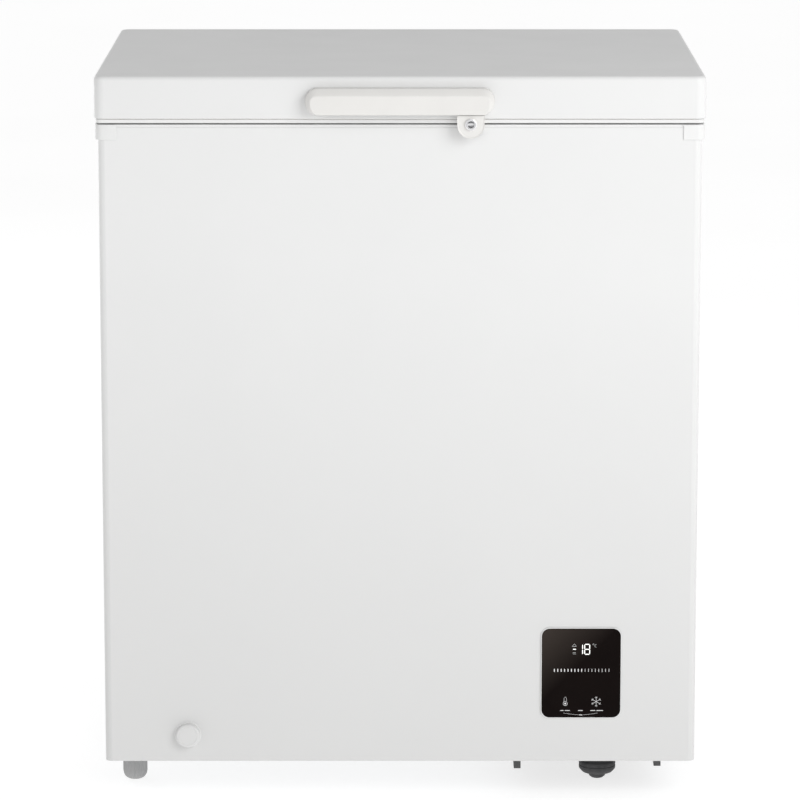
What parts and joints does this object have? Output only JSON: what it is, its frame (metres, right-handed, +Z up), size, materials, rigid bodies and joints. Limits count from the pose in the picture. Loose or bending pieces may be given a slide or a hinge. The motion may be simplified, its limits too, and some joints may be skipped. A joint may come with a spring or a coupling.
{
  "type": "chest freezer",
  "caption": "White chest freezer with a hinged lid, front grip and lock, stepped liner, hanging wire basket, front control panel and drain, on low feet.",
  "frame": {"origin": "middle of the footprint, on the floor the feet stand on", "axes": "+Z up, the front with the control panel faces -Y, +X is to the right seen from the front"},
  "size_m": [0.702, 0.5445, 0.854],
  "materials": {
    "white_paint": "smooth painted sheet steel, low gloss",
    "white_plastic": "fine moulded plastic",
    "grip_plastic": "moulded plastic, very slightly warm",
    "liner_metal": "embossed liner sheet",
    "foam": "rigid insulating foam",
    "zinc_steel": "zinc-plated pressed steel",
    "bright_steel": "bright plated steel",
    "copper_pipe": "drawn copper pipe",
    "black_paint": "black enamel",
    "dark_rubber": "moulded rubber",
    "grey_plastic": "grey moulded plastic",
    "seal": "soft pale seal",
    "black_glass": "gloss black lens, faint brown tint",
    "board": "lacquered circuit board",
    "wire_coat": "plastic-coated wire"
  },
  "bodies": {
    "cabinet": {"outer_wrapper": "white_paint", "rear_panel": "white_paint", "base_plate": "zinc_steel", "foam_insulation": "foam", "liner_wall": "liner_metal", "liner_floor": "liner_metal", "top_trim_front": "white_plastic", "top_trim_rear": "white_plastic", "top_trim_left": "white_plastic", "top_trim_right": "white_plastic", "corner_cap_front_left": "white_plastic", "corner_cap_front_right": "white_plastic", "corner_cap_rear_left": "white_plastic", "corner_cap_rear_right": "white_plastic", "evaporator_coil": "copper_pipe", "condenser_coil": "copper_pipe", "compressor_shell": "black_paint", "compressor_bracket": "black_paint", "terminal_cover": "black_paint", "filter_drier": "copper_pipe", "suction_line": "copper_pipe", "discharge_line": "copper_pipe", "compressor_tray": "black_paint", "grommet_front_left": "dark_rubber", "grommet_front_right": "dark_rubber", "grommet_rear_left": "dark_rubber", "grommet_rear_right": "dark_rubber", "tray_foot_front": "dark_rubber", "tray_foot_rear": "dark_rubber", "rear_cover": "zinc_steel", "cable_gland": "dark_rubber", "control_housing": "grey_plastic", "control_board": "board", "control_fascia": "black_glass", "temperature_sensor": "grey_plastic", "drain_tube": "grey_plastic", "hinge_bracket_left": "zinc_steel", "hinge_bracket_right": "zinc_steel", "hinge_pin_left": "bright_steel", "hinge_pin_right": "bright_steel", "hinge_spring_left": "zinc_steel", "hinge_spring_right": "zinc_steel", "lock_keeper": "zinc_steel"},
    "lid": {"lid_outer_shell": "white_paint", "lid_foam": "foam", "lid_inner_liner": "white_plastic", "lid_gasket": "seal", "handle_grip": "grip_plastic", "lock_housing": "grip_plastic", "hinge_leaf_left": "zinc_steel", "hinge_leaf_right": "zinc_steel"},
    "lock": {"lock_barrel": "bright_steel", "lock_cam": "zinc_steel"},
    "spout": {"drain_spout": "grey_plastic"},
    "dial": {"drain_dial": "white_plastic"},
    "plug": {"floor_plug": "grey_plastic"},
    "foot_front": {"levelling_foot_front": "grey_plastic"},
    "foot_rear": {"levelling_foot_rear": "grey_plastic"},
    "basket": {"basket": "wire_coat"}
  },
  "joints": [
    {"name": "lid_hinge", "type": "hinge", "parent": "cabinet", "child": "lid", "pos_m": [0, 0.267, 0.8], "axis": [-1, 0, 0], "range_deg": [0, 78], "stiffness_Nm_per_rad": 3.5, "springref_deg": 147.25, "deforming": ["hinge_spring_left", "hinge_spring_right"]},
    {"name": "lock_turn", "type": "hinge", "parent": "lid", "child": "lock", "pos_m": [0.081, -0.262, 0.8003], "axis": [0, -1, 0], "range_deg": [0, 90]},
    {"name": "spout_pull", "type": "slide", "parent": "cabinet", "child": "spout", "axis": [0, -1, 0], "range_m": [0, 0.03]},
    {"name": "dial_turn", "type": "hinge", "parent": "spout", "child": "dial", "pos_m": [-0.2494, -0.255, 0.0764], "axis": [0, -1, 0], "range_deg": [0, 180]},
    {"name": "plug_lift", "type": "slide", "parent": "cabinet", "child": "plug", "axis": [0, 0, 1], "range_m": [0, 0.06]},
    {"name": "foot_front_turn", "type": "hinge", "parent": "cabinet", "child": "foot_front", "pos_m": [-0.317, -0.165, 0.02], "axis": [0, 0, 1], "continuous": true},
    {"name": "foot_rear_turn", "type": "hinge", "parent": "cabinet", "child": "foot_rear", "pos_m": [-0.317, 0.165, 0.02], "axis": [0, 0, 1], "continuous": true},
    {"name": "basket_slide", "type": "slide", "parent": "cabinet", "child": "basket", "axis": [-1, 0, 0], "range_m": [0, 0.33]}
  ]
}
